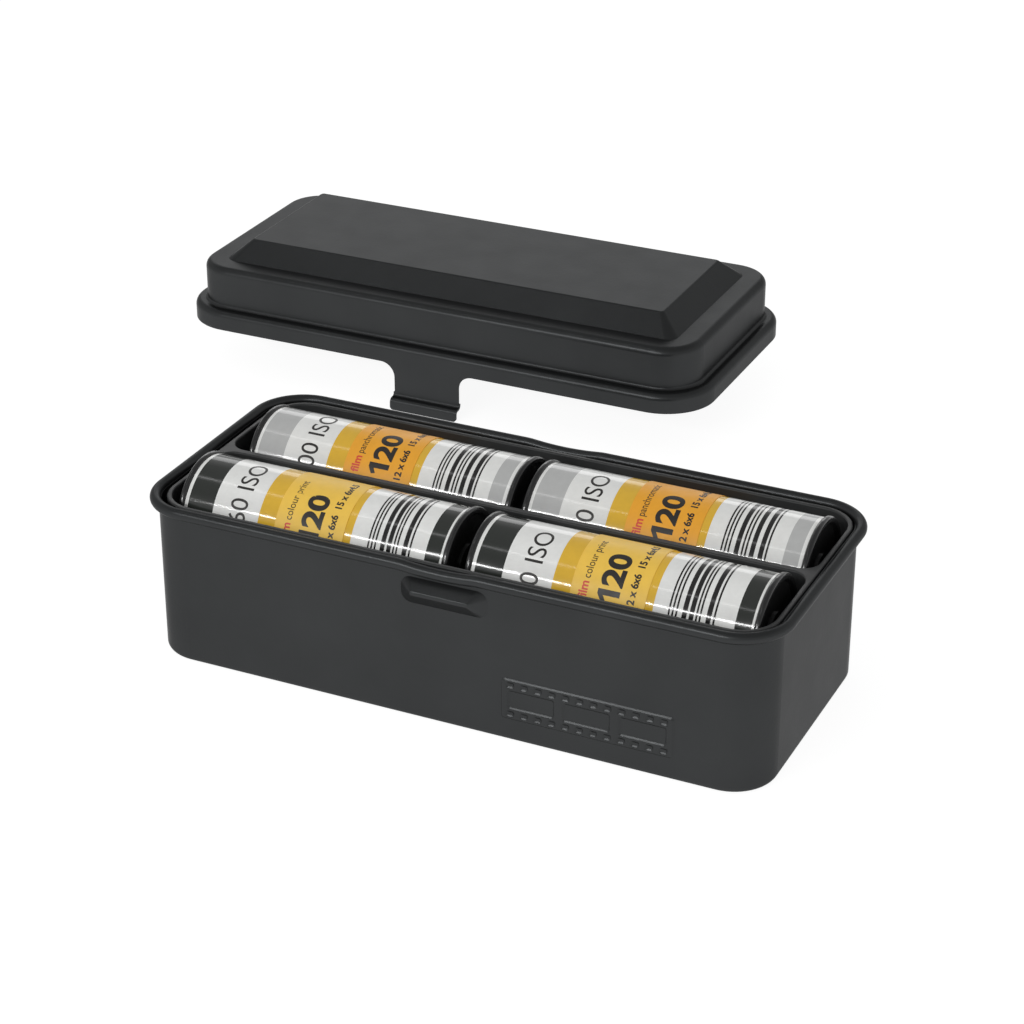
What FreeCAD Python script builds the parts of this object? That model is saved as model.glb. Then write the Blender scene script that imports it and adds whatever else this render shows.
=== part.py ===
"""Steel storage case for four rolls of 120 film.

A pressed steel case with a rolled rim holds a moulded tray, four rolls of film lie on the tray's
cross walls, and a pressed steel lid with two spring tabs stands beside the case.
X runs along the case, Y towards its back and Z up. The origin is the centre of the case's underside.
All sizes are in millimetres.
"""
import FreeCAD
import Part

import math
import os

import Sketcher
from FreeCAD import Placement, Rotation, Vector

SIZES = {
    # pressed steel
    "SheetGauge": 0.6,
    # case, measured over its rolled rim
    "CaseLength": 149.0,
    "CaseWidth": 66.9,
    "CaseHeight": 38.2,
    "CaseCorner": 12.2,
    "RimRadius": 1.25,
    "EndReach": 2.2,
    "SideReach": 1.7,
    "FootRadius": 1.6,
    "DipHalf": 9.8,
    "DipDepth": 0.55,
    "DipShoulder": 16.0,
    # catches pressed into the front and back walls
    "CatchLength": 20.1,
    "CatchShift": 1.05,
    "CatchCorner": 2.4,
    "CatchProud": 2.8,
    "CatchLevel": 32.4,
    "CatchRise": 2.0,
    "CatchFall": 4.2,
    "CatchEnd": 3.5,
    "CatchCrest": 0.8,
    "CatchCrestCorner": 0.3,
    "CatchSoftness": 0.4,
    # lid
    "LidLength": 151.8,
    "LidWidth": 70.7,
    "LidCorner": 13.7,
    "SkirtHeight": 5.2,
    "SkirtRound": 1.8,
    "LidStep": 3.3,
    "LidWallTop": 16.4,
    "LidEdgeRound": 2.0,
    "BevelInset": 6.6,
    "BevelCorner": 3.0,
    "PlateauInset": 12.2,
    "PlateauCorner": 1.0,
    "LidHeight": 21.3,
    "CreaseRadius": 0.8,
    "RidgeRadius": 0.9,
    "TabWidth": 18.8,
    "TabDrop": 12.4,
    "TabRoot": 4.0,
    "TabFlat": 8.8,
    "TabLedge": 9.2,
    "TabBend": 0.7,
    "TabLipReach": 2.3,
    "TabLipSpare": 0.35,
    "TabLipCorner": 0.9,
    "LidRestX": -73.9,
    "LidRestY": 143.2,
    # tray
    "TrayLength": 142.2,
    "TrayWidth": 60.4,
    "TrayCorner": 9.0,
    "TrayWall": 1.2,
    "TrayFloor": 1.4,
    "TrayTop": 37.4,
    "TrayFoot": 1.2,
    "TrayShift": 0.4,
    "TrayLipRound": 0.4,
    "DividerWidth": 1.9,
    "DividerCorner": 4.0,
    "CellPitch": 28.0,
    "CrossWall": 1.2,
    "CrossWallTop": 17.5,
    "RibProud": 1.4,
    "RibTop": 35.4,
    # rolls of film
    "SpoolLength": 65.6,
    "FlangeRadius": 12.55,
    "FlangeWidth": 1.4,
    "FlangeRound": 0.6,
    "FlangeRecess": 0.6,
    "RecessRadius": 10.7,
    "BossRadius": 4.6,
    "BossSetback": 0.2,
    "KeyHoleRadius": 2.75,
    "KeyHoleDepth": 7.0,
    "KeySlotWidth": 1.6,
    "KeySlotLength": 8.4,
    "KeySlotDepth": 2.6,
    "CoreRadius": 5.8,
    "PaperSlotLength": 52.0,
    "PaperSlotWidth": 1.4,
    "WindingGap": 0.05,
    "FilmWidth": 61.5,
    "FilmRadius": 10.8,
    "SpliceWidth": 10.0,
    "SpliceGauge": 0.12,
    "PaperWidth": 62.7,
    "PaperInner": 11.05,
    "PaperRadius": 12.1,
    "BandWidth": 16.6,
    "BandShift": -0.4,
    "BandGauge": 0.1,
    "RowOffset": 13.9,
    "RollLevel": 29.7,
}
ROLLS = {
    # corner of the case: left end of the spool along X, and which row it lies in
    "front_left": (-67.2, -1),
    "front_right": (2.45, -1),
    "back_left": (-65.8, 1),
    "back_right": (2.45, 1),
}
STEEL_CLEARANCE = 0.05


def start_document():
    """The document and its sheet of driving dimensions, one alias a row."""
    doc = FreeCAD.newDocument("FilmCase")
    sheet = doc.addObject("Spreadsheet::Sheet", "Dimensions")
    for row, (name, number) in enumerate(SIZES.items(), start=1):
        sheet.set(f"A{row}", name)
        sheet.set(f"B{row}", str(number))
        sheet.setAlias(f"B{row}", name)
    doc.recompute()
    return doc, sheet


doc, sheet = start_document()


def size(name):
    """A driving dimension, read from its cell."""
    return float(sheet.get(name))


def total(**factors):
    """A length that is a sum of cells: its value, and the expression that binds it to them."""
    value = sum(factor * size(name) for name, factor in factors.items())
    text = " + ".join(f"{factor} * Dimensions.{name}" for name, factor in factors.items())
    return value, text


def bind(feature, **properties):
    """Bind a feature's properties to expressions given by total()."""
    for name, (_, text) in properties.items():
        feature.setExpression(name, text)


def new_body(label):
    """An empty body whose label names its file."""
    body = doc.addObject("PartDesign::Body", label)
    body.Label = label
    return body


def new_sketch(body, name, role, shift=Vector(0, 0, 0)):
    """A sketch on one of the body's own origin planes, shifted in the plane's own axes."""
    plane = next(item for item in body.Origin.OriginFeatures if item.Role == role)
    sketch = body.newObject("Sketcher::SketchObject", name)
    sketch.AttachmentSupport = [(plane, "")]
    sketch.MapMode = "FlatFace"
    sketch.AttachmentOffset = Placement(shift, Rotation())
    return sketch


def new_feature(body, kind, name, **properties):
    """A PartDesign feature with its properties set."""
    feature = body.newObject("PartDesign::" + kind, name)
    for key, value in properties.items():
        setattr(feature, key, value)
    return feature


def add_driven(sketch, name, amount, *constraint):
    """A dimension constraint that follows the sheet."""
    value, text = amount
    index = sketch.addConstraint(Sketcher.Constraint(*constraint, value))
    sketch.renameConstraint(index, name)
    sketch.setExpression("Constraints." + name, text)


def rounded_rectangle(sketch, length, width, radius):
    """A centred rectangle with round corners; its three sizes follow the sheet."""
    half_x, half_y, corner = length[0] / 2, width[0] / 2, radius[0]
    flat_x, flat_y = half_x - corner, half_y - corner
    outline = [
        (Vector(-flat_x, -half_y, 0), Vector(flat_x, -half_y, 0)),
        (Vector(half_x, -flat_y, 0), Vector(half_x, flat_y, 0)),
        (Vector(flat_x, half_y, 0), Vector(-flat_x, half_y, 0)),
        (Vector(-half_x, flat_y, 0), Vector(-half_x, -flat_y, 0)),
    ]
    centres = [(flat_x, -flat_y), (flat_x, flat_y), (-flat_x, flat_y), (-flat_x, -flat_y)]
    lines = [sketch.addGeometry(Part.LineSegment(a, b)) for a, b in outline]
    arcs = []
    for turn, (x, y) in enumerate(centres):
        circle = Part.Circle(Vector(x, y, 0), Vector(0, 0, 1), corner)
        first = math.radians(90 * turn - 90)
        arcs.append(sketch.addGeometry(Part.ArcOfCircle(circle, first, first + math.pi / 2)))
    for turn in range(4):
        following = lines[(turn + 1) % 4]
        sketch.addConstraint(Sketcher.Constraint("Tangent", lines[turn], 2, arcs[turn], 1))
        sketch.addConstraint(Sketcher.Constraint("Tangent", arcs[turn], 2, following, 1))
        kind = "Horizontal" if turn % 2 == 0 else "Vertical"
        sketch.addConstraint(Sketcher.Constraint(kind, lines[turn]))
    for turn in range(1, 4):
        sketch.addConstraint(Sketcher.Constraint("Equal", arcs[0], arcs[turn]))
    sketch.addConstraint(Sketcher.Constraint("Symmetric", lines[0], 1, lines[2], 1, -1, 1))
    add_driven(sketch, "radius", radius, "Radius", arcs[0])
    add_driven(sketch, "length", length, "DistanceX", lines[3], 1, lines[1], 1)
    add_driven(sketch, "width", width, "DistanceY", lines[0], 1, lines[2], 2)


def circle_about_origin(sketch, name, radius):
    """A circle about the sketch's origin; its radius follows the sheet."""
    index = sketch.addGeometry(Part.Circle(Vector(0, 0, 0), Vector(0, 0, 1), radius[0]))
    sketch.addConstraint(Sketcher.Constraint("Coincident", index, 3, -1, 1))
    add_driven(sketch, name, radius, "Radius", index)


def closed_outline(sketch, points):
    """Straight lines through the points and back to the first."""
    vectors = [Vector(x, y, 0) for x, y in points]
    for start, end in zip(vectors, vectors[1:] + vectors[:1]):
        sketch.addGeometry(Part.LineSegment(start, end))


def rectangle(sketch, low_x, low_y, high_x, high_y):
    """A plain rectangle between two corners."""
    closed_outline(sketch, [(low_x, low_y), (high_x, low_y), (high_x, high_y), (low_x, high_y)])


def names_where(items, kind, test):
    """Names such as Edge3 or Face1 of the items whose bounding box passes the test."""
    return [f"{kind}{n}" for n, item in enumerate(items, start=1) if test(item.BoundBox)]


def edges_where(feature, test):
    return names_where(feature.Shape.Edges, "Edge", test)


def flat_at(level):
    """A test for what lies in the horizontal plane at that level."""
    return lambda box: abs(box.ZMin - level) < 1e-4 and abs(box.ZMax - level) < 1e-4


def round_edges(body, name, base, test, radius):
    """Round the edges of the base that pass the test."""
    doc.recompute()
    fillet = new_feature(body, "Fillet", name, Base=(base, edges_where(base, test)))
    fillet.Radius = radius[0]
    bind(fillet, Radius=radius)
    return fillet


def make_shell(body, name, base, level):
    """Hollow the base out to the sheet's gauge, open at the flat face at that level."""
    doc.recompute()
    open_faces = names_where(base.Shape.Faces, "Face", flat_at(level))
    shell = new_feature(body, "Thickness", name, Base=(base, open_faces), Reversed=True, Join=0)
    bind(shell, Value=total(SheetGauge=1))
    doc.recompute()


def dip_points():
    """The rim's line where it dips: half of it, as points at the ends and middles of its two arcs."""
    half, depth, shoulder = size("DipHalf"), size("DipDepth"), size("DipShoulder")
    angle = 2 * math.atan(depth / half)
    hollow = half / math.sin(angle) - shoulder
    level = size("CaseHeight") - size("RimRadius")

    def on_shoulder(turn):
        return -half + shoulder * math.sin(turn), level - shoulder * (1 - math.cos(turn))

    def on_hollow(turn):
        return -hollow * math.sin(turn), level - depth + hollow * (1 - math.cos(turn))

    return on_shoulder, on_hollow, angle


def dip_line(sketch):
    """The dip from its left end to its right end: shoulder, hollow, shoulder."""
    on_shoulder, on_hollow, angle = dip_points()
    left = [Vector(*on_shoulder(angle * share), 0) for share in (0, 0.5, 1)]
    right = [Vector(-point.x, point.y, 0) for point in reversed(left)]
    bottom = Vector(*on_hollow(0), 0)
    sketch.addGeometry(Part.Arc(*left))
    sketch.addGeometry(Part.Arc(left[2], bottom, right[0]))
    sketch.addGeometry(Part.Arc(*right))
    return left[0], right[2]


def sweep_rim(body, name, path, profile):
    """A round bar along the path, joined to the body."""
    doc.recompute()
    edges = [f"Edge{n}" for n in range(1, len(path.Shape.Edges) + 1)]
    pipe = new_feature(body, "AdditivePipe", name, Profile=profile, Spine=(path, edges))
    pipe.Transition = 1
    doc.recompute()


def make_case():
    """The case: a drawn steel pan with a rolled rim, two dips in it and two catches below them."""
    body = new_body("case_body")
    wall = new_sketch(body, "CaseWall", "XY_Plane")
    rounded_rectangle(
        wall,
        total(CaseLength=1, EndReach=-2),
        total(CaseWidth=1, SideReach=-2),
        total(CaseCorner=1, EndReach=-1),
    )
    block = new_feature(body, "Pad", "CaseBlock", Profile=wall)
    bind(block, Length=total(CaseHeight=1, RimRadius=-1))
    foot = round_edges(body, "CaseFoot", block, flat_at(0), total(FootRadius=1))
    rim_level = total(CaseHeight=1, RimRadius=-1)[0]
    make_shell(body, "CasePan", foot, rim_level)

    notch = new_sketch(body, "CaseNotch", "XZ_Plane")
    start, end = dip_line(notch)
    closing = [end, Vector(end.x, rim_level + 1, 0), Vector(start.x, rim_level + 1, 0), start]
    for a, b in zip(closing, closing[1:]):
        notch.addGeometry(Part.LineSegment(a, b))
    new_feature(body, "Pocket", "CaseNotchCut", Profile=notch, Type=1, Midplane=True)

    centre_x = size("CaseLength") / 2 - size("RimRadius")
    centre_y = size("CaseWidth") / 2 - size("RimRadius")
    bend = size("CaseCorner") - size("RimRadius")
    for side, word in ((-1, "Left"), (1, "Right")):
        path = new_sketch(body, f"Rim{word}Path", "XY_Plane", Vector(0, 0, rim_level))
        end_x, flat_x = side * size("DipHalf"), side * (centre_x - bend)
        flat_y, far_x = centre_y - bend, side * centre_x
        middle = bend * math.sqrt(0.5)
        for row in (-1, 1):
            run = [Vector(end_x, row * centre_y, 0), Vector(flat_x, row * centre_y, 0)]
            arc = [
                run[1],
                Vector(flat_x + side * middle, row * (flat_y + middle), 0),
                Vector(far_x, row * flat_y, 0),
            ]
            if row > 0:
                path.addGeometry(Part.LineSegment(Vector(far_x, -flat_y, 0), arc[2]))
                path.addGeometry(Part.Arc(arc[2], arc[1], arc[0]))
                path.addGeometry(Part.LineSegment(run[1], run[0]))
            else:
                path.addGeometry(Part.LineSegment(*run))
                path.addGeometry(Part.Arc(*arc))
        profile = new_sketch(body, f"Rim{word}Round", "YZ_Plane", Vector(-centre_y, rim_level, end_x))
        circle_about_origin(profile, "radius", total(RimRadius=1))
        sweep_rim(body, f"Rim{word}", path, profile)
    for row, word in ((-1, "Front"), (1, "Back")):
        path = new_sketch(body, f"Dip{word}Path", "XZ_Plane", Vector(0, 0, -row * centre_y))
        start, _ = dip_line(path)
        profile = new_sketch(body, f"Dip{word}Round", "YZ_Plane", Vector(row * centre_y, start.y, start.x))
        circle_about_origin(profile, "radius", total(RimRadius=1))
        sweep_rim(body, f"Dip{word}", path, profile)

    for row, word in ((-1, "Front"), (1, "Back")):
        add_catch(body, row, word)
    return body


def catch_loft(body, kind, name, row, skins):
    """A catch's outer form, or the hollow behind it when it is drawn in by that many sheet gauges."""
    gauge = skins * size("SheetGauge")
    skin = size("CaseWidth") / 2 - size("SideReach") - gauge
    middle = size("CatchLevel") + (size("CatchRise") - size("CatchFall")) / 2
    shift = size("CatchShift")
    foot = new_sketch(body, f"{name}Foot", "XZ_Plane", Vector(shift, middle, -row * skin))
    rounded_rectangle(
        foot,
        total(CatchLength=1, SheetGauge=-2 * skins),
        total(CatchRise=1, CatchFall=1, SheetGauge=-2 * skins),
        total(CatchCorner=1, SheetGauge=-skins),
    )
    crest_level = size("CatchLevel") - size("CatchCrest") / 2
    crest_reach = skin + size("CatchProud")
    crest = new_sketch(
        body, f"{name}Crest", "XZ_Plane", Vector(shift, crest_level, -row * crest_reach)
    )
    rounded_rectangle(
        crest,
        total(CatchLength=1, CatchEnd=-2, SheetGauge=-skins),
        total(CatchCrest=1 - skins / 4),
        total(CatchCrestCorner=1 - skins / 4),
    )
    loft = new_feature(body, kind, f"{name}Form", Profile=foot, Sections=[crest], Ruled=True)
    doc.recompute()
    return loft


def add_catch(body, row, word):
    """A sloping ridge pressed out of a long wall, hollow behind, which a tab of the lid snaps over."""
    ridge = catch_loft(body, "AdditiveLoft", f"Catch{word}", row, 0)
    crest = size("CaseWidth") / 2 - size("SideReach") + size("CatchProud")
    round_edges(
        body,
        f"Catch{word}Soft",
        ridge,
        lambda box: abs(box.YMin - row * crest) < 1e-3 and abs(box.YMax - row * crest) < 1e-3,
        total(CatchSoftness=1),
    )
    doc.recompute()
    catch_loft(body, "SubtractiveLoft", f"Catch{word}Back", row, 1)


def tab_outline(sketch):
    """The flat of a tab: straight sides that flare into the skirt with round roots."""
    half, root = size("TabWidth") / 2, size("TabRoot")
    top, bottom = size("SheetGauge"), -size("TabFlat")
    middle = root * (1 - math.sqrt(0.5))
    left = [
        Vector(-half - root, 0, 0),
        Vector(-half - middle, -middle, 0),
        Vector(-half, -root, 0),
    ]
    right = [Vector(-point.x, point.y, 0) for point in reversed(left)]
    sketch.addGeometry(Part.Arc(*left))
    corners = [
        left[2],
        Vector(-half, bottom, 0),
        Vector(half, bottom, 0),
        right[0],
    ]
    for a, b in zip(corners, corners[1:]):
        sketch.addGeometry(Part.LineSegment(a, b))
    sketch.addGeometry(Part.Arc(*right))
    corners = [right[2], Vector(right[2].x, top, 0), Vector(left[0].x, top, 0), left[0]]
    for a, b in zip(corners, corners[1:]):
        sketch.addGeometry(Part.LineSegment(a, b))


def tab_lip(skin):
    """The tab's end from the side: a step outwards and a lip turned down, to be pushed by a thumb."""
    gauge, ledge = size("SheetGauge"), -size("TabLedge")
    top, foot = gauge - size("TabFlat"), -size("TabDrop")
    far = skin + size("TabLipReach")
    outer = [(skin, top), (skin, ledge), (far, ledge), (far, foot)]
    inner = [
        (far - gauge, foot),
        (far - gauge, ledge - gauge),
        (skin - gauge, ledge - gauge),
        (skin - gauge, top),
    ]
    return outer + inner


def bends_at(places):
    """A test for edges along X at any of those places, given as Y and Z."""

    def test(box):
        thin = max(box.YLength, box.ZLength) < 1e-3
        return thin and any(math.hypot(box.Center.y - y, box.Center.z - z) < 1e-3 for y, z in places)

    return test


def lid_block(name, skins):
    """The lid's outer form, or the room inside it when it is drawn in by that many sheet gauges."""
    body = new_body(name)

    def drawn_in(word, factor=-1, **others):
        return total(**{word: 1, **others, "SheetGauge": factor * skins})

    skirt = new_sketch(body, "LidSkirt", "XY_Plane")
    rounded_rectangle(
        skirt, drawn_in("LidLength", -2), drawn_in("LidWidth", -2), drawn_in("LidCorner")
    )
    skirt_pad = new_feature(body, "Pad", "LidSkirtBlock", Profile=skirt)
    skirt_top = drawn_in("SkirtHeight")
    bind(skirt_pad, Length=skirt_top)
    round_edges(body, "LidSkirtRound", skirt_pad, flat_at(skirt_top[0]), drawn_in("SkirtRound"))

    wall = new_sketch(body, "LidWall", "XY_Plane")
    wall_width = drawn_in("LidWidth", -2, LidStep=-2)
    rounded_rectangle(
        wall,
        drawn_in("LidLength", -2, LidStep=-2),
        wall_width,
        drawn_in("LidCorner", LidStep=-1),
    )
    wall_pad = new_feature(body, "Pad", "LidWallBlock", Profile=wall)
    wall_top = drawn_in("LidWallTop")
    bind(wall_pad, Length=wall_top)
    round_edges(body, "LidEdgeRound", wall_pad, flat_at(wall_top[0]), drawn_in("LidEdgeRound"))

    rings = []
    levels = (
        ("Bevel", wall_top, "BevelInset", "BevelCorner"),
        ("Plateau", drawn_in("LidHeight"), "PlateauInset", "PlateauCorner"),
    )
    for word, level, inset, corner in levels:
        ring = new_sketch(body, f"Lid{word}", "XY_Plane", Vector(0, 0, level[0]))
        rounded_rectangle(
            ring,
            drawn_in("LidLength", -2, **{"LidStep": -2, inset: -2}),
            drawn_in("LidWidth", -2, **{"LidStep": -2, inset: -2}),
            total(**{corner: 1}),
        )
        rings.append(ring)
    raised = new_feature(
        body, "AdditiveLoft", "LidTop", Profile=rings[0], Sections=[rings[1]], Ruled=True
    )
    against_wall = wall_width[0] / 2 + 0.01
    crease = round_edges(
        body,
        "LidCrease",
        raised,
        lambda box: flat_at(skirt_top[0])(box) and abs(box.Center.y) < against_wall,
        drawn_in("CreaseRadius", 1),
    )
    round_edges(
        body, "LidRidges", crease, flat_at(levels[1][1][0]), drawn_in("RidgeRadius")
    )
    doc.recompute()
    return body


def make_tab(row, word):
    """A spring tab that hangs from the skirt on one long side."""
    body = new_body(f"tab_{word}")
    skin = size("LidWidth") / 2
    flat = new_sketch(body, "TabFace", "XZ_Plane", Vector(0, 0, -row * skin))
    tab_outline(flat)
    pad = new_feature(body, "Pad", "TabFlat", Profile=flat, Reversed=row < 0)
    bind(pad, Length=total(SheetGauge=1))
    side = new_sketch(body, "TabSide", "YZ_Plane")
    profile = [(row * reach, level) for reach, level in tab_lip(skin)]
    closed_outline(side, profile)
    lip = new_feature(body, "Pad", "TabLip", Profile=side, Midplane=True)
    bind(lip, Length=total(TabWidth=1, TabLipSpare=2))
    tight = round_edges(
        body, "TabTightBends", lip, bends_at([profile[1], profile[5]]), total(TabBend=1)
    )
    wide = round_edges(
        body,
        "TabWideBends",
        tight,
        bends_at([profile[2], profile[6]]),
        total(TabBend=1, SheetGauge=1),
    )
    foot = flat_at(-size("TabDrop"))
    round_edges(
        body,
        "TabLipCorners",
        wide,
        lambda box: foot(box) and box.XLength < 1e-3,
        total(TabLipCorner=1),
    )
    doc.recompute()
    return body


def make_lid():
    """The lid: a stepped steel pressing with a bevelled top and a spring tab on each long side."""
    pan = doc.addObject("Part::Cut", "lid_pan")
    pan.Base = lid_block("lid_outside", 0)
    pan.Tool = lid_block("lid_inside", 1)
    lid = doc.addObject("Part::MultiFuse", "lid")
    lid.Shapes = [pan, make_tab(-1, "front"), make_tab(1, "back")]
    lid.Label = "lid"
    lid.Placement = Placement(
        Vector(size("LidRestX"), size("LidRestY"), size("TabDrop")), Rotation()
    )
    doc.recompute()
    return lid


def compartment(sketch, row):
    """One long compartment of the tray, with wider corners against the tray's outer wall."""
    wall, divider = size("TrayWall"), size("DividerWidth") / 2
    half_x = size("TrayLength") / 2 - wall
    far_y = size("TrayWidth") / 2 - wall
    near_y = divider
    wide, tight = size("TrayCorner") - wall, size("DividerCorner")
    corners = [
        (-half_x, near_y, tight, 1, 1),
        (half_x, near_y, tight, -1, 1),
        (half_x, far_y, wide, -1, -1),
        (-half_x, far_y, wide, 1, -1),
    ]
    arcs = []
    for turn, (x, y, radius, to_x, to_y) in enumerate(corners):
        along, across = Vector(x + to_x * radius, y, 0), Vector(x, y + to_y * radius, 0)
        cut = radius * (1 - math.sqrt(0.5))
        middle = Vector(x + to_x * cut, y + to_y * cut, 0)
        points = [across, middle, along] if turn % 2 == 0 else [along, middle, across]
        arcs.append([Vector(point.x, row * point.y, 0) for point in points])
    for arc, following in zip(arcs, arcs[1:] + arcs[:1]):
        sketch.addGeometry(Part.Arc(*arc))
        sketch.addGeometry(Part.LineSegment(arc[2], following[0]))


def make_tray():
    """The tray: two long compartments for 120 rolls above ten cells for upright 35 mm cartridges."""
    body = new_body("tray")
    base = size("SheetGauge") + STEEL_CLEARANCE
    outline = new_sketch(body, "TrayOutline", "XY_Plane")
    rounded_rectangle(outline, total(TrayLength=1), total(TrayWidth=1), total(TrayCorner=1))
    block = new_feature(body, "Pad", "TrayBlock", Profile=outline)
    block.Length = size("TrayTop") - base
    block.setExpression("Length", f"Dimensions.TrayTop - Dimensions.SheetGauge - {STEEL_CLEARANCE}")
    round_edges(body, "TrayFoot", block, flat_at(0), total(TrayFoot=1))
    depth = total(TrayTop=1, SheetGauge=-1, TrayFloor=-1)
    for row, word in ((-1, "Front"), (1, "Back")):
        hollow = new_sketch(body, f"Tray{word}", "XY_Plane", Vector(0, 0, size("TrayTop") - base))
        compartment(hollow, row)
        cut = new_feature(body, "Pocket", f"Tray{word}Hollow", Profile=hollow)
        bind(cut, Length=depth)
        doc.recompute()
    soften_tray_top(body, cut, size("TrayTop") - base)

    far_y = size("TrayWidth") / 2 - size("TrayWall") / 2
    near_y = size("DividerWidth") / 4
    half = size("CrossWall") / 2
    inner_y = size("TrayWidth") / 2 - size("TrayWall")
    crossings = [size("CellPitch") * step for step in (-1.5, -0.5, 0.5, 1.5)]
    walls = new_sketch(body, "CrossWalls", "XY_Plane")
    ribs = new_sketch(body, "WallRibs", "XY_Plane")
    for x in crossings:
        for row in (-1, 1):
            low, high = sorted((row * near_y, row * far_y))
            rectangle(walls, x - half, low, x + half, high)
            low, high = sorted((row * (inner_y - size("RibProud")), row * far_y))
            rectangle(ribs, x - half, low, x + half, high)
    for name, sketch, top in (("Cross", walls, "CrossWallTop"), ("Rib", ribs, "RibTop")):
        pad = new_feature(body, "Pad", f"Tray{name}Pad", Profile=sketch)
        pad.setExpression(
            "Length", f"Dimensions.{top} - Dimensions.SheetGauge - {STEEL_CLEARANCE}"
        )
    doc.recompute()
    body.Placement = Placement(Vector(size("TrayShift"), 0, base), Rotation())
    return body


def soften_tray_top(body, base, level):
    """Round the upper edges of the divider and of the tray's lip."""
    inside = size("TrayWidth") / 2 - size("TrayWall") + 0.01
    round_edges(
        body,
        "TrayLipRound",
        base,
        lambda box: flat_at(level)(box) and abs(box.YMax) < inside,
        total(TrayLipRound=1),
    )


def roll_place(corner):
    """The left end of a roll's axis."""
    left, row = ROLLS[corner]
    return Placement(Vector(left, row * size("RowOffset"), size("RollLevel")), Rotation())


def spool_profile(sketch):
    """Half of the spool's section: X along its axis, and the radius upwards."""
    length, rim, width = size("SpoolLength"), size("FlangeRadius"), size("FlangeWidth")
    recess, soft, core = size("FlangeRecess"), size("FlangeRound"), size("CoreRadius")
    hole, depth = size("KeyHoleRadius"), size("KeyHoleDepth")
    half = [
        (depth, 0),
        (depth, hole),
        (size("BossSetback"), hole),
        (size("BossSetback"), size("BossRadius")),
        (recess, size("BossRadius")),
        (recess, size("RecessRadius")),
        (0, size("RecessRadius") + recess),
        (0, rim - soft),
    ]
    inner = [(width, rim - soft), (width, core)]
    bend = soft * (1 - math.sqrt(0.5))
    for mirror in (False, True):
        def place(x, y):
            return Vector(length - x if mirror else x, y, 0)

        for chain in (half, inner):
            for a, b in zip(chain, chain[1:]):
                sketch.addGeometry(Part.LineSegment(place(*a), place(*b)))
        sketch.addGeometry(Part.Arc(place(0, rim - soft), place(bend, rim - bend), place(soft, rim)))
        sketch.addGeometry(
            Part.Arc(place(width - soft, rim), place(width - bend, rim - bend), place(width, rim - soft))
        )
        if width - 2 * soft > 0:
            sketch.addGeometry(Part.LineSegment(place(soft, rim), place(width - soft, rim)))
    sketch.addGeometry(Part.LineSegment(Vector(width, core, 0), Vector(length - width, core, 0)))
    sketch.addGeometry(Part.LineSegment(Vector(depth, 0, 0), Vector(length - depth, 0, 0)))


def make_spool(corner):
    """A 120 spool: two flanges on a core, a keyed hole at each end and a slot for the paper."""
    body = new_body(f"roll_{corner}_spool")
    section = new_sketch(body, "SpoolSection", "XZ_Plane")
    spool_profile(section)
    new_feature(
        body,
        "Revolution",
        "SpoolTurned",
        Profile=section,
        ReferenceAxis=(section, ["H_Axis"]),
        Angle=360,
    )
    doc.recompute()
    half_long, half_wide = size("KeySlotLength") / 2, size("KeySlotWidth") / 2
    for at, inward in ((0, True), (size("SpoolLength"), False)):
        key = new_sketch(body, "KeySlot", "YZ_Plane", Vector(0, 0, at))
        rectangle(key, -half_wide, -half_long, half_wide, half_long)
        cut = new_feature(body, "Pocket", "KeySlotCut", Profile=key, Reversed=inward)
        bind(cut, Length=total(KeySlotDepth=1))
        doc.recompute()
    slot = new_sketch(body, "PaperSlot", "XY_Plane")
    middle, reach = size("SpoolLength") / 2, size("PaperSlotLength") / 2
    half_slot = size("PaperSlotWidth") / 2
    rectangle(slot, middle - reach, -half_slot, middle + reach, half_slot)
    cut = new_feature(body, "Pocket", "PaperSlotCut", Profile=slot, Midplane=True)
    bind(cut, Length=total(CoreRadius=2, WindingGap=2))
    doc.recompute()
    body.Placement = roll_place(corner)
    return body


def make_tube(corner, part, inner, outer, width, shift=0.0):
    """A wound layer of a roll: a tube about the spool, centred on it or shifted along it."""
    body = new_body(f"roll_{corner}_{part}")
    start = (size("SpoolLength") - width[0]) / 2 + shift
    ring = new_sketch(body, "Ring", "YZ_Plane", Vector(0, 0, start))
    circle_about_origin(ring, "inner", inner)
    circle_about_origin(ring, "outer", outer)
    pad = new_feature(body, "Pad", "Winding", Profile=ring)
    bind(pad, Length=width)
    doc.recompute()
    body.Placement = roll_place(corner)
    return body


def make_splice(corner):
    """The strip of tape that fixes the head of the film to its backing paper."""
    body = new_body(f"roll_{corner}_splice_tape")
    inner = size("FilmRadius") + size("WindingGap")
    outer = inner + size("SpliceGauge")
    reach = size("SpliceWidth") / inner / 2
    width = size("FilmWidth")
    patch = new_sketch(body, "SplicePatch", "YZ_Plane", Vector(0, 0, (size("SpoolLength") - width) / 2))
    ends = {}
    for word, radius in (("inner", inner), ("outer", outer)):
        points = [
            Vector(radius * math.sin(turn), -radius * math.cos(turn), 0) for turn in (-reach, 0, reach)
        ]
        patch.addGeometry(Part.Arc(*points))
        ends[word] = points
    for index in (0, 2):
        patch.addGeometry(Part.LineSegment(ends["inner"][index], ends["outer"][index]))
    pad = new_feature(body, "Pad", "Splice", Profile=patch)
    bind(pad, Length=total(FilmWidth=1))
    doc.recompute()
    body.Placement = roll_place(corner)
    return body


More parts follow.
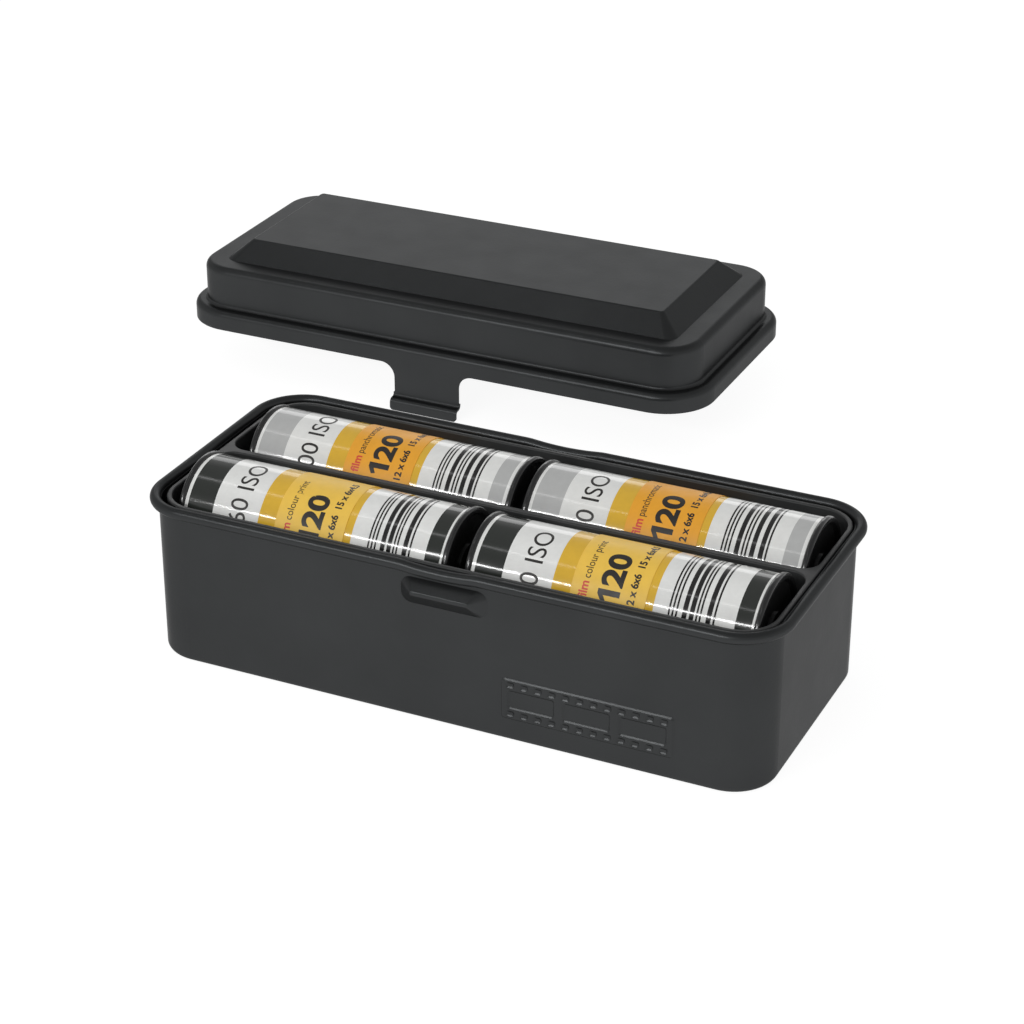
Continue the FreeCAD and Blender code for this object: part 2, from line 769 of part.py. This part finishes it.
def make_roll(corner):
    """One roll of film: spool, film, splice tape, backing paper and the band that seals it."""
    return [
        make_spool(corner),
        make_tube(
            corner,
            "film",
            total(CoreRadius=1, WindingGap=1),
            total(FilmRadius=1),
            total(FilmWidth=1),
        ),
        make_splice(corner),
        make_tube(
            corner,
            "backing_paper",
            total(PaperInner=1),
            total(PaperRadius=1),
            total(PaperWidth=1),
        ),
        make_tube(
            corner,
            "seal_band",
            total(PaperRadius=1),
            total(PaperRadius=1, BandGauge=1),
            total(BandWidth=1),
            size("BandShift"),
        ),
    ]


def check_model(bodies):
    """Stop before anything is written if an object failed or a shape isn't one good solid."""
    doc.recompute()
    for item in doc.Objects:
        if "Invalid" in item.State or "Error" in item.State:
            raise RuntimeError(f"{item.Label} failed: {item.State}")
    for body in bodies:
        shape = body.Shape
        if shape.isNull() or not shape.isValid() or len(shape.Solids) != 1:
            raise RuntimeError(f"{body.Label} isn't one valid solid")
        print(f"{body.Label}: {shape.Volume:.1f} mm3")


parts = [make_case(), make_lid(), make_tray()]
for place in ROLLS:
    parts += make_roll(place)
check_model(parts)
os.makedirs("parts", exist_ok=True)
for part in parts:
    part.Shape.exportStep(f"parts/{part.Label}.step")
print(f"wrote {len(parts)} parts")
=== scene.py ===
"""Studio scene of a steel film case with its lid, its tray and four rolls of 120 film.

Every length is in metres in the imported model's own frame. Places and sizes come from the CAD
nodes' boxes; millimetre figures are the print layout of a roll, counted from its paper's left edge.
"""
import math
from collections import namedtuple

import bmesh
import bpy
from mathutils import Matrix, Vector


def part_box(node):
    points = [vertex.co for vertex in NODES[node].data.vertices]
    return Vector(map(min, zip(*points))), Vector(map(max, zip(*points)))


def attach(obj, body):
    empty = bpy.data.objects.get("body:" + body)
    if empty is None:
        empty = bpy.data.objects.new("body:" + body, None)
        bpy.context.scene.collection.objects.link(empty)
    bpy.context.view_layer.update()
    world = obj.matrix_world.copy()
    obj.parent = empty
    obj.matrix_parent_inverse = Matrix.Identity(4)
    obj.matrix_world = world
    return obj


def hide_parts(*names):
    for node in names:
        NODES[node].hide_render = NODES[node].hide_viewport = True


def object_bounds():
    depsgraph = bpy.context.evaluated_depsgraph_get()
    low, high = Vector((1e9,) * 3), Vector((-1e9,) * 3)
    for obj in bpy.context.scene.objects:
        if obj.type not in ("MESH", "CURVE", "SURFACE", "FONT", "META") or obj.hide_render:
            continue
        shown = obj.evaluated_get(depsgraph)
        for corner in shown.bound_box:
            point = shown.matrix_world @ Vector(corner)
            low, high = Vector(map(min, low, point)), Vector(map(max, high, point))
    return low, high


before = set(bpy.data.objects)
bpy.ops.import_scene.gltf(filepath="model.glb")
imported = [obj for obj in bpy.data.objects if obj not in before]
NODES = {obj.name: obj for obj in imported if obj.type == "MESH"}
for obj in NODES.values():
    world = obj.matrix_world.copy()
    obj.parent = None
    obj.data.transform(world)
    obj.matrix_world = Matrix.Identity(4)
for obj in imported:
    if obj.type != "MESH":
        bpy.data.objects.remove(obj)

CAD_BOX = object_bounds()
MM = 0.001
CORNERS = ("front_left", "front_right", "back_left", "back_right")


# ---------------------------------------------------------------- materials

class Shader:
    """A Principled material whose detail comes from procedural nodes in object space."""

    def __init__(self, name, roughness, **sockets):
        self.material = bpy.data.materials.new(name)
        self.material.use_nodes = True
        self.nodes = self.material.node_tree.nodes
        self.links = self.material.node_tree.links
        self.surface = self.nodes["Principled BSDF"]
        self.surface.inputs["Roughness"].default_value = roughness
        for socket, value in sockets.items():
            self.surface.inputs[socket.replace("_", " ")].default_value = value
        self.place = self.nodes.new("ShaderNodeTexCoord").outputs["Object"]
        self.height = None

    def noise(self, size, detail=3.0, stretch=(1, 1, 1)):
        """Noise with features of that size, in metres."""
        mapping = self.nodes.new("ShaderNodeMapping")
        mapping.inputs["Scale"].default_value = stretch
        self.links.new(self.place, mapping.inputs["Vector"])
        node = self.nodes.new("ShaderNodeTexNoise")
        node.inputs["Scale"].default_value = 1 / size
        node.inputs["Detail"].default_value = detail
        self.links.new(mapping.outputs["Vector"], node.inputs["Vector"])
        return node.outputs["Fac"]

    def spread(self, source, low, high, dark=0.3, light=0.7):
        """The source's values between dark and light, stretched to run from low to high."""
        node = self.nodes.new("ShaderNodeMapRange")
        for name, value in (("From Min", dark), ("From Max", light), ("To Min", low), ("To Max", high)):
            node.inputs[name].default_value = value
        self.links.new(source, node.inputs["Value"])
        return node.outputs["Result"]

    def colour(self, source, first, second, dark=0.3, light=0.7):
        """Base colour that runs between two colours with the source."""
        node = self.nodes.new("ShaderNodeValToRGB")
        node.color_ramp.elements[0].position = dark
        node.color_ramp.elements[0].color = first
        node.color_ramp.elements[1].position = light
        node.color_ramp.elements[1].color = second
        self.links.new(source, node.inputs["Fac"])
        self.links.new(node.outputs["Color"], self.surface.inputs["Base Color"])

    def rough(self, source, low, high):
        """Roughness that runs between two values with the source."""
        self.links.new(self.spread(source, low, high), self.surface.inputs["Roughness"])

    def bump(self, source, depth, strength=1.0):
        """Relief of that depth, in metres, on top of what is already there."""
        node = self.nodes.new("ShaderNodeBump")
        node.inputs["Strength"].default_value = strength
        node.inputs["Distance"].default_value = depth
        self.links.new(source, node.inputs["Height"])
        if self.height is not None:
            self.links.new(self.height, node.inputs["Normal"])
        self.height = node.outputs["Normal"]
        self.links.new(self.height, self.surface.inputs["Normal"])


def shade(colour, factor):
    """A colour made lighter or darker."""
    return tuple(channel * factor for channel in colour[:3]) + (1.0,)


def powder_coat():
    """Satin black powder coat: a fine orange peel over faint clouding."""
    coat = Shader("black_powder_coat", 0.33, Metallic=0.75, Specular_Tint=(0.45, 0.45, 0.45, 1))
    base = (0.0385, 0.0402, 0.0412, 1)
    coat.colour(coat.noise(22 * MM, 4), shade(base, 0.93), shade(base, 1.08))
    coat.rough(coat.noise(9 * MM, 5), 0.31, 0.35)
    coat.bump(coat.noise(0.9 * MM, 2), 0.012 * MM)
    coat.bump(coat.noise(0.28 * MM, 2), 0.006 * MM)
    return coat.material


def moulded_plastic(name, base, low, high, grain, **sockets):
    """Injection-moulded plastic: an even colour, flow marks in the gloss and a fine spark finish."""
    plastic = Shader(name, (low + high) / 2, **sockets)
    plastic.colour(plastic.noise(14 * MM, 3), shade(base, 0.9), shade(base, 1.12))
    plastic.rough(plastic.noise(3.5 * MM, 4, (0.4, 1, 1)), low, high)
    plastic.bump(plastic.noise(0.35 * MM, 3), grain)
    return plastic.material


def print_ink(name, base, low=0.08, high=0.13):
    """Printed paper: a trace of mottle in the ink, and long soft waves where the paper is wound.

    The roughness it runs between is that of a gloss varnish unless it is given.
    """
    ink = Shader(name, (low + high) / 2)
    ink.colour(ink.noise(1.6 * MM, 4), shade(base, 0.965), shade(base, 1.02))
    ink.rough(ink.noise(2.5 * MM, 4), low, high)
    ink.bump(ink.noise(5 * MM, 2, (0.6, 1.6, 1.6)), 0.02 * MM)
    ink.bump(ink.noise(0.22 * MM, 2), 0.0016 * MM)
    return ink.material


WHITE = (0.88, 0.885, 0.865, 1)
STEEL = powder_coat()
TRAY = moulded_plastic(
    "moulded_black_tray", (0.031, 0.032, 0.0325, 1), 0.38, 0.48, 0.008 * MM, Specular_IOR_Level=0.28
)
SPOOL = moulded_plastic("glossy_black_spool", (0.015, 0.015, 0.0155, 1), 0.14, 0.22, 0.002 * MM)
FILM = moulded_plastic("dark_film_base", (0.05, 0.034, 0.045, 1), 0.16, 0.24, 0.001 * MM)
TAPE = print_ink("splice_paper_tape", (0.74, 0.74, 0.7, 1), 0.5, 0.62)
INKS = {
    "white": print_ink("varnished_white_paper", WHITE),
    "dark": print_ink("varnished_dark_ink", (0.026, 0.029, 0.026, 1)),
    "grey": print_ink("varnished_grey_ink", (0.52, 0.525, 0.52, 1)),
    "mustard": print_ink("varnished_mustard_ink", (0.80, 0.49, 0.046, 1)),
    "bar": print_ink("varnished_black_bars", (0.014, 0.014, 0.014, 1)),
}
BAND = print_ink("amber_seal_paper", (0.96, 0.61, 0.085, 1), 0.42, 0.55)
BAND_BACK = print_ink("orange_seal_paper", (0.92, 0.42, 0.025, 1), 0.42, 0.55)
TEXT_DARK = print_ink("printed_black_text", (0.016, 0.014, 0.012, 1), 0.42, 0.5)
TEXT_RED = print_ink("printed_red_text", (0.72, 0.06, 0.035, 1), 0.4, 0.5)


def finish_with(piece, *materials):
    """Give a new piece its materials."""
    for material in materials:
        piece.data.materials.append(material)


def repaint(node, material):
    """Give a CAD node a better material."""
    for place in NODES[node].material_slots:
        place.material = material


# ---------------------------------------------------------------- mesh helpers

def add_piece(name, mesh, body, slot, *replaced):
    """Put a mesh made in the row frame on a CAD body."""
    piece = bpy.data.objects.new(name, mesh)
    bpy.context.scene.collection.objects.link(piece)
    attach(piece, body)
    if replaced:
        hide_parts(*replaced)
    return piece


def mesh_from(bm, name, smooth_angle):
    """Turn a bmesh into a mesh, smooth except at edges sharper than the angle."""
    bmesh.ops.recalc_face_normals(bm, faces=bm.faces)
    for face in bm.faces:
        face.smooth = True
    for edge in bm.edges:
        if len(edge.link_faces) == 2 and edge.calc_face_angle(0) > smooth_angle:
            edge.smooth = False
    mesh = bpy.data.meshes.new(name)
    bm.to_mesh(mesh)
    bm.free()
    return mesh


class Roll:
    """Where one roll lies, and how its print is laid out on it."""

    def __init__(self, corner):
        low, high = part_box(f"roll_{corner}_backing_paper")
        self.left, self.right = low.x, high.x
        self.axis_y, self.axis_z = (low.y + high.y) / 2, (low.z + high.z) / 2
        self.radius = (high.z - low.z) / 2

    def point(self, along, angle, radius):
        """A point that far along the axis and from it, turned from the top towards the front."""
        return Vector(
            (
                along,
                self.axis_y - radius * math.sin(angle),
                self.axis_z + radius * math.cos(angle),
            )
        )


# facets round a roll
AROUND = 160


def wound(outer, step, lap):
    """The radius, by angle, of a layer whose loose end lies on its own start, a step higher."""
    return lambda angle: outer - step * ((angle - lap) % (2 * math.pi)) / (2 * math.pi)


def wound_tube(roll, name, stations, inner, outer, step, lap, material_of):
    """A layer wound once round a roll: a thin tube with a small ledge where its loose end lies."""
    bm = bmesh.new()
    sections = []
    angles = [lap + 2 * math.pi * turn / AROUND for turn in range(AROUND + 1)]
    for along in stations:
        outside = [
            bm.verts.new(roll.point(along, angle, outer - step * turn / AROUND))
            for turn, angle in enumerate(angles)
        ]
        inside = [bm.verts.new(roll.point(along, angle, inner)) for angle in angles[:-1]]
        sections.append((outside, inside))
    for index, (first, second) in enumerate(zip(sections, sections[1:])):
        middle = (stations[index] + stations[index + 1]) / 2 - roll.left
        material = material_of(middle / MM)
        for turn in range(AROUND):
            following = (turn + 1) % AROUND
            faces = [
                (first[0][turn], first[0][turn + 1], second[0][turn + 1], second[0][turn]),
                (first[1][turn], second[1][turn], second[1][following], first[1][following]),
            ]
            for corners in faces:
                bm.faces.new(corners).material_index = material
        ledge = (first[0][0], second[0][0], second[0][AROUND], first[0][AROUND])
        bm.faces.new(ledge).material_index = material
    for section, along in ((sections[0], stations[0]), (sections[-1], stations[-1])):
        material = material_of((along - roll.left) / MM)
        outside, inside = section
        for turn in range(AROUND):
            following = (turn + 1) % AROUND
            far = outside[turn + 1]
            corners = (outside[turn], far, inside[following], inside[turn])
            bm.faces.new(corners).material_index = material
        bm.faces.new((outside[AROUND], outside[0], inside[0])).material_index = material
    return mesh_from(bm, name, math.radians(40))


# ---------------------------------------------------------------- print on the rolls

# (end of the stripe, its ink), in millimetres from the paper's left edge; the last runs to the end
COLOUR_STRIPES = (
    (0.8, "white"), (7.1, "dark"), (18.4, "white"), (41.0, "mustard"), (58.7, "white"),
    (62.2, "dark"), (99.0, "white"),
)
GREY_STRIPES = (
    (0.7, "white"), (7.3, "grey"), (18.25, "white"), (41.0, "mustard"), (58.4, "white"),
    (61.9, "grey"), (99.0, "white"),
)
# bars printed round the roll: (start, width) from the left edge of the pattern
COLOUR_BARS = (
    (0.0, 0.4), (0.8, 0.4), (1.6, 0.4), (3.0, 1.05), (4.55, 1.0), (5.95, 0.4), (6.7, 0.4),
    (8.2, 1.05), (9.7, 0.42),
)
GREY_BARS = (
    (0.0, 0.4), (0.8, 0.4), (1.6, 0.4), (3.0, 1.05), (4.55, 0.42), (5.35, 0.42), (6.4, 1.05),
    (8.35, 1.05), (9.8, 0.42),
)
# What one roll's print says and where it lies: first_bar in millimetres from the paper's left edge,
# lap the angle in degrees of the seal's loose end, and speed_head and number_end the arcs in
# millimetres, from the roll's top towards the front, where the film speed starts and where the
# format number ends.
Label = namedtuple("Label", "stripes bars first_bar seal lap speed speed_head number_end kind")
LABELS = {
    "front_left": Label(
        COLOUR_STRIPES, COLOUR_BARS, 45.1, BAND, 23.5, "160 ISO", 16.9, 4.4, "colour print"
    ),
    "front_right": Label(
        COLOUR_STRIPES, COLOUR_BARS, 44.3, BAND, 215.0, "160 ISO", 19.0, 2.7, "colour print"
    ),
    "back_left": Label(
        GREY_STRIPES, GREY_BARS, 44.8, BAND_BACK, 215.0, "400 ISO", 16.4, 0.4, "panchromatic"
    ),
    "back_right": Label(
        GREY_STRIPES, GREY_BARS, 44.6, BAND_BACK, 215.0, "400 ISO", 18.5, 1.4, "panchromatic"
    ),
}
# the ledge at a layer's loose end, and the angle where the paper's lies
PAPER_STEP, PAPER_LAP = 0.09 * MM, math.radians(200)
BAND_STEP = 0.07 * MM
INK_ORDER = ("white", "dark", "grey", "mustard", "bar")


def ink_at(place, label):
    """The ink at a distance in millimetres from the paper's left edge."""
    for start, width in label.bars:
        if start <= place - label.first_bar <= start + width:
            return INK_ORDER.index("bar")
    return INK_ORDER.index(next(ink for end, ink in label.stripes if place <= end))


def make_paper(corner, roll, label):
    """The printed backing paper, cut at the edge of every stripe so that the print is crisp."""
    width = (roll.right - roll.left) / MM
    cuts = {0.0, width}
    cuts.update(end for end, _ in label.stripes if end < width)
    for start, thickness in label.bars:
        cuts.update((label.first_bar + start, label.first_bar + start + thickness))
    stations = [roll.left + cut * MM for cut in sorted(cuts)]
    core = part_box(f"roll_{corner}_splice_tape")[0]
    inner = max(roll.axis_z - core.z, roll.radius - 1.05 * MM)
    mesh = wound_tube(
        roll,
        f"roll_{corner}_printed_paper",
        stations,
        inner,
        roll.radius,
        PAPER_STEP,
        PAPER_LAP,
        lambda place: ink_at(min(max(place, 0.01), width - 0.01), label),
    )
    name = f"roll_{corner}_backing_paper"
    piece = add_piece(f"roll_{corner}_printed_paper", mesh, f"roll_{corner}", "backing_paper", name)
    finish_with(piece, *(INKS[ink] for ink in INK_ORDER))


def make_seal(corner, roll, label):
    """The gummed paper band that holds the roll closed; returns its radius by angle."""
    low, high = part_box(f"roll_{corner}_seal_band")
    outer = (high.z - low.z) / 2
    inner = roll.radius - PAPER_STEP - 0.01 * MM
    lap = math.radians(label.lap)
    name = f"roll_{corner}_seal_paper"
    mesh = wound_tube(roll, name, (low.x, high.x), inner, outer, BAND_STEP, lap, lambda place: 0)
    piece = add_piece(name, mesh, f"roll_{corner}", "seal_band", f"roll_{corner}_seal_band")
    finish_with(piece, label.seal)
    return wound(outer, BAND_STEP, lap)


# half the thickness of the printed letters, in millimetres
LETTER_GAUGE = 0.012


def flat_words(words, height, weight):
    """Words as a thin solid mesh: X along the line, Y up the letters, in millimetres.

    height is that of a capital letter, and weight widens every stroke.
    """
    curve = bpy.data.curves.new("words", "FONT")
    curve.body = words
    curve.size = height / 0.72
    curve.offset = weight
    curve.extrude = LETTER_GAUGE
    curve.resolution_u = 6
    holder = bpy.data.objects.new("words", curve)
    bpy.context.scene.collection.objects.link(holder)
    bpy.context.view_layer.update()
    graph = bpy.context.evaluated_depsgraph_get()
    mesh = bpy.data.meshes.new_from_object(holder.evaluated_get(graph))
    bpy.data.objects.remove(holder)
    bpy.data.curves.remove(curve)
    part = bmesh.new()
    part.from_mesh(mesh)
    bpy.data.meshes.remove(mesh)
    bmesh.ops.remove_doubles(part, verts=part.verts, dist=1e-4)
    return part


def figure_one(height, width, stem):
    """A bold figure one with a flag, as a thin solid mesh like the words."""
    outline = (
        (width - stem, 0), (width, 0), (width, height), (width - 0.85 * stem, height),
        (0, 0.80 * height), (0.08 * width, 0.60 * height), (width - stem, 0.74 * height),
    )
    part = bmesh.new()
    face = part.faces.new([part.verts.new((x, y, -LETTER_GAUGE)) for x, y in outline])
    raised = bmesh.ops.extrude_face_region(part, geom=[face])["geom"]
    top = [item for item in raised if isinstance(item, bmesh.types.BMVert)]
    bmesh.ops.translate(part, verts=top, vec=(0, 0, 2 * LETTER_GAUGE))
    bmesh.ops.triangulate(part, faces=part.faces)
    return part


def wrap(bm, part, roll, surface, base, head, material, length=None):
    """Wrap a flat line round a roll, so it reads up over it towards the back, tops to its left.

    base is the letters' foot in millimetres from the paper's left edge, and head the arc in
    millimetres, from the roll's top towards the front, where the line starts. Returns where it ends.
    """
    low = min(vert.co.x for vert in part.verts)
    high = max(vert.co.x for vert in part.verts)
    stretch = length / (high - low) if length else 1.0
    cut = low + 0.6
    while cut < high:
        geometry = part.verts[:] + part.edges[:] + part.faces[:]
        bmesh.ops.bisect_plane(part, geom=geometry, plane_co=(cut, 0, 0), plane_no=(1, 0, 0))
        cut += 0.6
    copies = {}
    for vert in part.verts:
        angle = (head - (vert.co.x - low) * stretch) * MM / roll.radius
        along = roll.left + (base - vert.co.y) * MM
        level = surface(angle) + (vert.co.z + LETTER_GAUGE) * MM
        copies[vert] = bm.verts.new(roll.point(along, angle, level))
    for face in part.faces:
        bm.faces.new([copies[vert] for vert in face.verts]).material_index = material
    part.free()
    return head - (high - low) * stretch


# the foot of each line of print, in millimetres from the paper's left edge
SPEED_FOOT, KIND_FOOT, ONE_FOOT, NUMBER_FOOT, SIZES_FOOT = 15.2, 26.3, 33.5, 33.4, 36.8
# where the lines on the seal start, as arcs in millimetres beyond the end of the format number
ONE_HEAD, FILM_HEAD, KIND_HEAD, SIZES_HEAD = 11.35, 11.7, 7.2, 20.0
NUMBER_GAP, NUMBER_LENGTH, KIND_LENGTH = 0.75, 8.0, 10.6
# places in the words' list of materials
DARK, RED = 0, 1


def make_words(corner, roll, seal, label):
    """All the print of one roll that isn't stripes: film speed, format and plain notes."""
    bm = bmesh.new()
    paper = wound(roll.radius, PAPER_STEP, PAPER_LAP)
    wrap(bm, flat_words(label.speed, 4.3, 0.0), roll, paper, SPEED_FOOT, label.speed_head, DARK)
    end = label.number_end
    one_end = wrap(bm, figure_one(4.9, 2.6, 1.25), roll, seal, ONE_FOOT, end + ONE_HEAD, DARK)
    number = flat_words("20", 4.7, 0.24)
    wrap(bm, number, roll, seal, NUMBER_FOOT, one_end - NUMBER_GAP, DARK, NUMBER_LENGTH)
    wrap(bm, flat_words("film", 1.9, 0.07), roll, seal, KIND_FOOT, end + FILM_HEAD, RED)
    kind = flat_words(label.kind, 1.75, 0.0)
    wrap(bm, kind, roll, seal, KIND_FOOT, end + KIND_HEAD, DARK, KIND_LENGTH)
    sizes = flat_words("8 x 6x9  12 x 6x6  15 x 6x4.5", 1.6, 0.07)
    wrap(bm, sizes, roll, seal, SIZES_FOOT, end + SIZES_HEAD, DARK)
    name = f"roll_{corner}_words"
    bmesh.ops.remove_doubles(bm, verts=bm.verts, dist=1e-7)
    mesh = mesh_from(bm, name, math.radians(30))
    piece = add_piece(name, mesh, f"roll_{corner}", "backing_paper")
    finish_with(piece, TEXT_DARK, TEXT_RED)


# ---------------------------------------------------------------- mark pressed into the case

def rounded_box_distance(x, z, half_x, half_z, corner):
    """Signed distance to a rectangle with round corners about the origin, negative inside."""
    over_x, over_z = abs(x) - half_x + corner, abs(z) - half_z + corner
    outside = math.hypot(max(over_x, 0), max(over_z, 0))
    return outside + min(max(over_x, over_z), 0) - corner


def film_mark_distance(x, z):
    """Signed distance, in millimetres, to a short strip of film with three frames and sprocket holes."""
    shape = rounded_box_distance(x, z, 19.4, 4.7, 0.8)
    for frame_x in (-12.6, 0.0, 12.6):
        shape = max(shape, -rounded_box_distance(x - frame_x, z, 5.2, 2.1, 0.5))
    pitch = 3.15
    nearest = max(-5.5, min(5.5, math.floor(x / pitch) + 0.5)) * pitch
    hole = rounded_box_distance(x - nearest, abs(z) - 3.45, 0.8, 0.55, 0.3)
    return max(shape, -hole)


def make_mark(centre, relief, pitch):
    """A film strip raised in the front wall with the soft shoulders of pressed sheet.

    A height field over the wall, closed behind just under the wall's skin.
    """
    half_x, half_z, shoulder = 20.4 * MM, 5.7 * MM, 0.42
    count_x, count_z = round(2 * half_x / pitch), round(2 * half_z / pitch)
    heights = {}
    for i in range(count_x + 1):
        for k in range(count_z + 1):
            x, z = -half_x + i * pitch, -half_z + k * pitch
            share = min(max(0.5 - film_mark_distance(x / MM, z / MM) / (2 * shoulder), 0), 1)
            heights[i, k] = relief * share * share * (3 - 2 * share)
    bm = bmesh.new()
    front, back = {}, {}

    def corner_pair(i, k):
        if (i, k) not in front:
            x, z = centre.x - half_x + i * pitch, centre.z - half_z + k * pitch
            front[i, k] = bm.verts.new((x, centre.y - heights[i, k] + 0.004 * MM, z))
            back[i, k] = bm.verts.new((x, centre.y + 0.2 * MM, z))
        return front[i, k], back[i, k]

    kept = {
        (i, k)
        for i in range(count_x)
        for k in range(count_z)
        if max(heights[i + a, k + b] for a in (0, 1) for b in (0, 1)) > 0.002 * MM
    }
    for i, k in sorted(kept):
        around = [(i, k), (i + 1, k), (i + 1, k + 1), (i, k + 1)]
        pairs = [corner_pair(*place) for place in around]
        bm.faces.new([pair[0] for pair in pairs])
        bm.faces.new([pair[1] for pair in reversed(pairs)])
        sides = ((i, k - 1), (i + 1, k), (i, k + 1), (i - 1, k))
        for side, beside in enumerate(sides):
            if beside not in kept:
                first, second = pairs[side], pairs[(side + 1) % 4]
                bm.faces.new((first[0], first[1], second[1], second[0]))
    mesh = mesh_from(bm, "case_film_mark", math.radians(50))
    finish_with(add_piece("case_film_mark", mesh, "case", "black_steel"), STEEL)


# ---------------------------------------------------------------- studio

def make_camera(target, azimuth, elevation, distance, lens):
    """A camera that looks at the target; azimuth 0 looks along +Y."""
    data = bpy.data.cameras.new("camera")
    data.lens = lens
    data.sensor_width = 36
    data.clip_start = 0.01
    camera = bpy.data.objects.new("camera", data)
    bpy.context.scene.collection.objects.link(camera)
    turn, lift = math.radians(azimuth), math.radians(elevation)
    back = Vector(
        (math.sin(turn) * math.cos(lift), -math.cos(turn) * math.cos(lift), math.sin(lift))
    )
    camera.location = target + back * distance
    camera.rotation_euler = back.to_track_quat("Z", "Y").to_euler()
    bpy.context.scene.camera = camera


def add_softbox(name, target, direction, distance, width, height, power):
    """A rectangular light that faces the target; its width lies level."""
    data = bpy.data.lights.new(name, "AREA")
    data.shape = "RECTANGLE"
    data.size, data.size_y = width, height
    data.energy = power
    light = bpy.data.objects.new(name, data)
    bpy.context.scene.collection.objects.link(light)
    away = Vector(direction).normalized()
    light.location = target + away * distance
    light.rotation_euler = away.to_track_quat("Z", "Y").to_euler()


def make_floor(level, size):
    """A pale matt surface, lit through from below like a light table."""
    bm = bmesh.new()
    bmesh.ops.create_grid(bm, x_segments=8, y_segments=8, size=size)
    bmesh.ops.translate(bm, verts=bm.verts, vec=(0, 0, level))
    mesh = bpy.data.meshes.new("floor")
    bm.to_mesh(mesh)
    bm.free()
    floor = bpy.data.objects.new("floor", mesh)
    bpy.context.scene.collection.objects.link(floor)
    pale = Shader("pale_floor", 0.9, Emission_Color=(1, 1, 1, 1), Emission_Strength=0.92)
    pale.surface.inputs["Specular IOR Level"].default_value = 0.0
    pale.colour(pale.noise(0.4, 2), (0.19, 0.19, 0.19, 1), (0.21, 0.21, 0.21, 1))
    finish_with(floor, pale.material)


def make_world(zenith, horizon):
    """Soft light from all round, brighter near the horizon than overhead."""
    world = bpy.data.worlds.new("studio")
    world.use_nodes = True
    bpy.context.scene.world = world
    nodes, links = world.node_tree.nodes, world.node_tree.links
    place = nodes.new("ShaderNodeTexCoord").outputs["Generated"]
    split = nodes.new("ShaderNodeSeparateXYZ")
    links.new(place, split.inputs["Vector"])
    ramp = nodes.new("ShaderNodeValToRGB")
    ramp.color_ramp.interpolation = "EASE"
    ramp.color_ramp.elements[0].position = 0.5
    ramp.color_ramp.elements[0].color = (horizon, horizon, horizon, 1)
    ramp.color_ramp.elements[1].position = 0.75
    ramp.color_ramp.elements[1].color = (zenith, zenith, zenith, 1)
    links.new(split.outputs["Z"], ramp.inputs["Fac"])
    links.new(ramp.outputs["Color"], nodes["Background"].inputs["Color"])


make_camera(
    Vector((-28.7, 64.9, 0)) * MM,
    azimuth=25.15,
    elevation=27.03,
    distance=664.4 * MM,
    lens=94.92,
)
# where the lights face: a little over the rim, and to the right of it
CENTRE = Vector((0, 0, 40 * MM))
RIGHT_OF_CENTRE = Vector((160 * MM, 0, 40 * MM))
add_softbox(
    "strip_high", CENTRE, (-0.379, -0.272, 0.885), distance=0.9, width=0.9, height=0.025, power=0.25
)
add_softbox(
    "strip_low", RIGHT_OF_CENTRE, (-0.379, -0.799, 0.468), distance=0.9, width=0.56, height=0.024, power=2.3
)
add_softbox(
    "back_left", CENTRE, (-0.43, 0.84, 0.325), distance=1.8, width=1.2, height=0.5, power=2.9
)
make_world(zenith=0.38, horizon=0.65)
make_floor(CAD_BOX[0].z - 0.05 * MM, size=6.0)
bpy.context.scene.view_settings.view_transform = "Standard"

# ---------------------------------------------------------------- the object

for node in ("case_body", "lid"):
    repaint(node, STEEL)
repaint("tray", TRAY)
for corner in CORNERS:
    repaint(f"roll_{corner}_spool", SPOOL)
    repaint(f"roll_{corner}_film", FILM)
    repaint(f"roll_{corner}_splice_tape", TAPE)
    roll = Roll(corner)
    label = LABELS[corner]
    make_paper(corner, roll, label)
    seal = make_seal(corner, roll, label)
    make_words(corner, roll, seal, label)

# the case's box ends at the catch's crest, which stands this far off the front wall
CATCH_REACH = 2.8 * MM
case_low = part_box("case_body")[0]
mark_centre = Vector((33.7 * MM, case_low.y + CATCH_REACH, case_low.z + 10.5 * MM))
make_mark(mark_centre, relief=0.4 * MM, pitch=0.16 * MM)
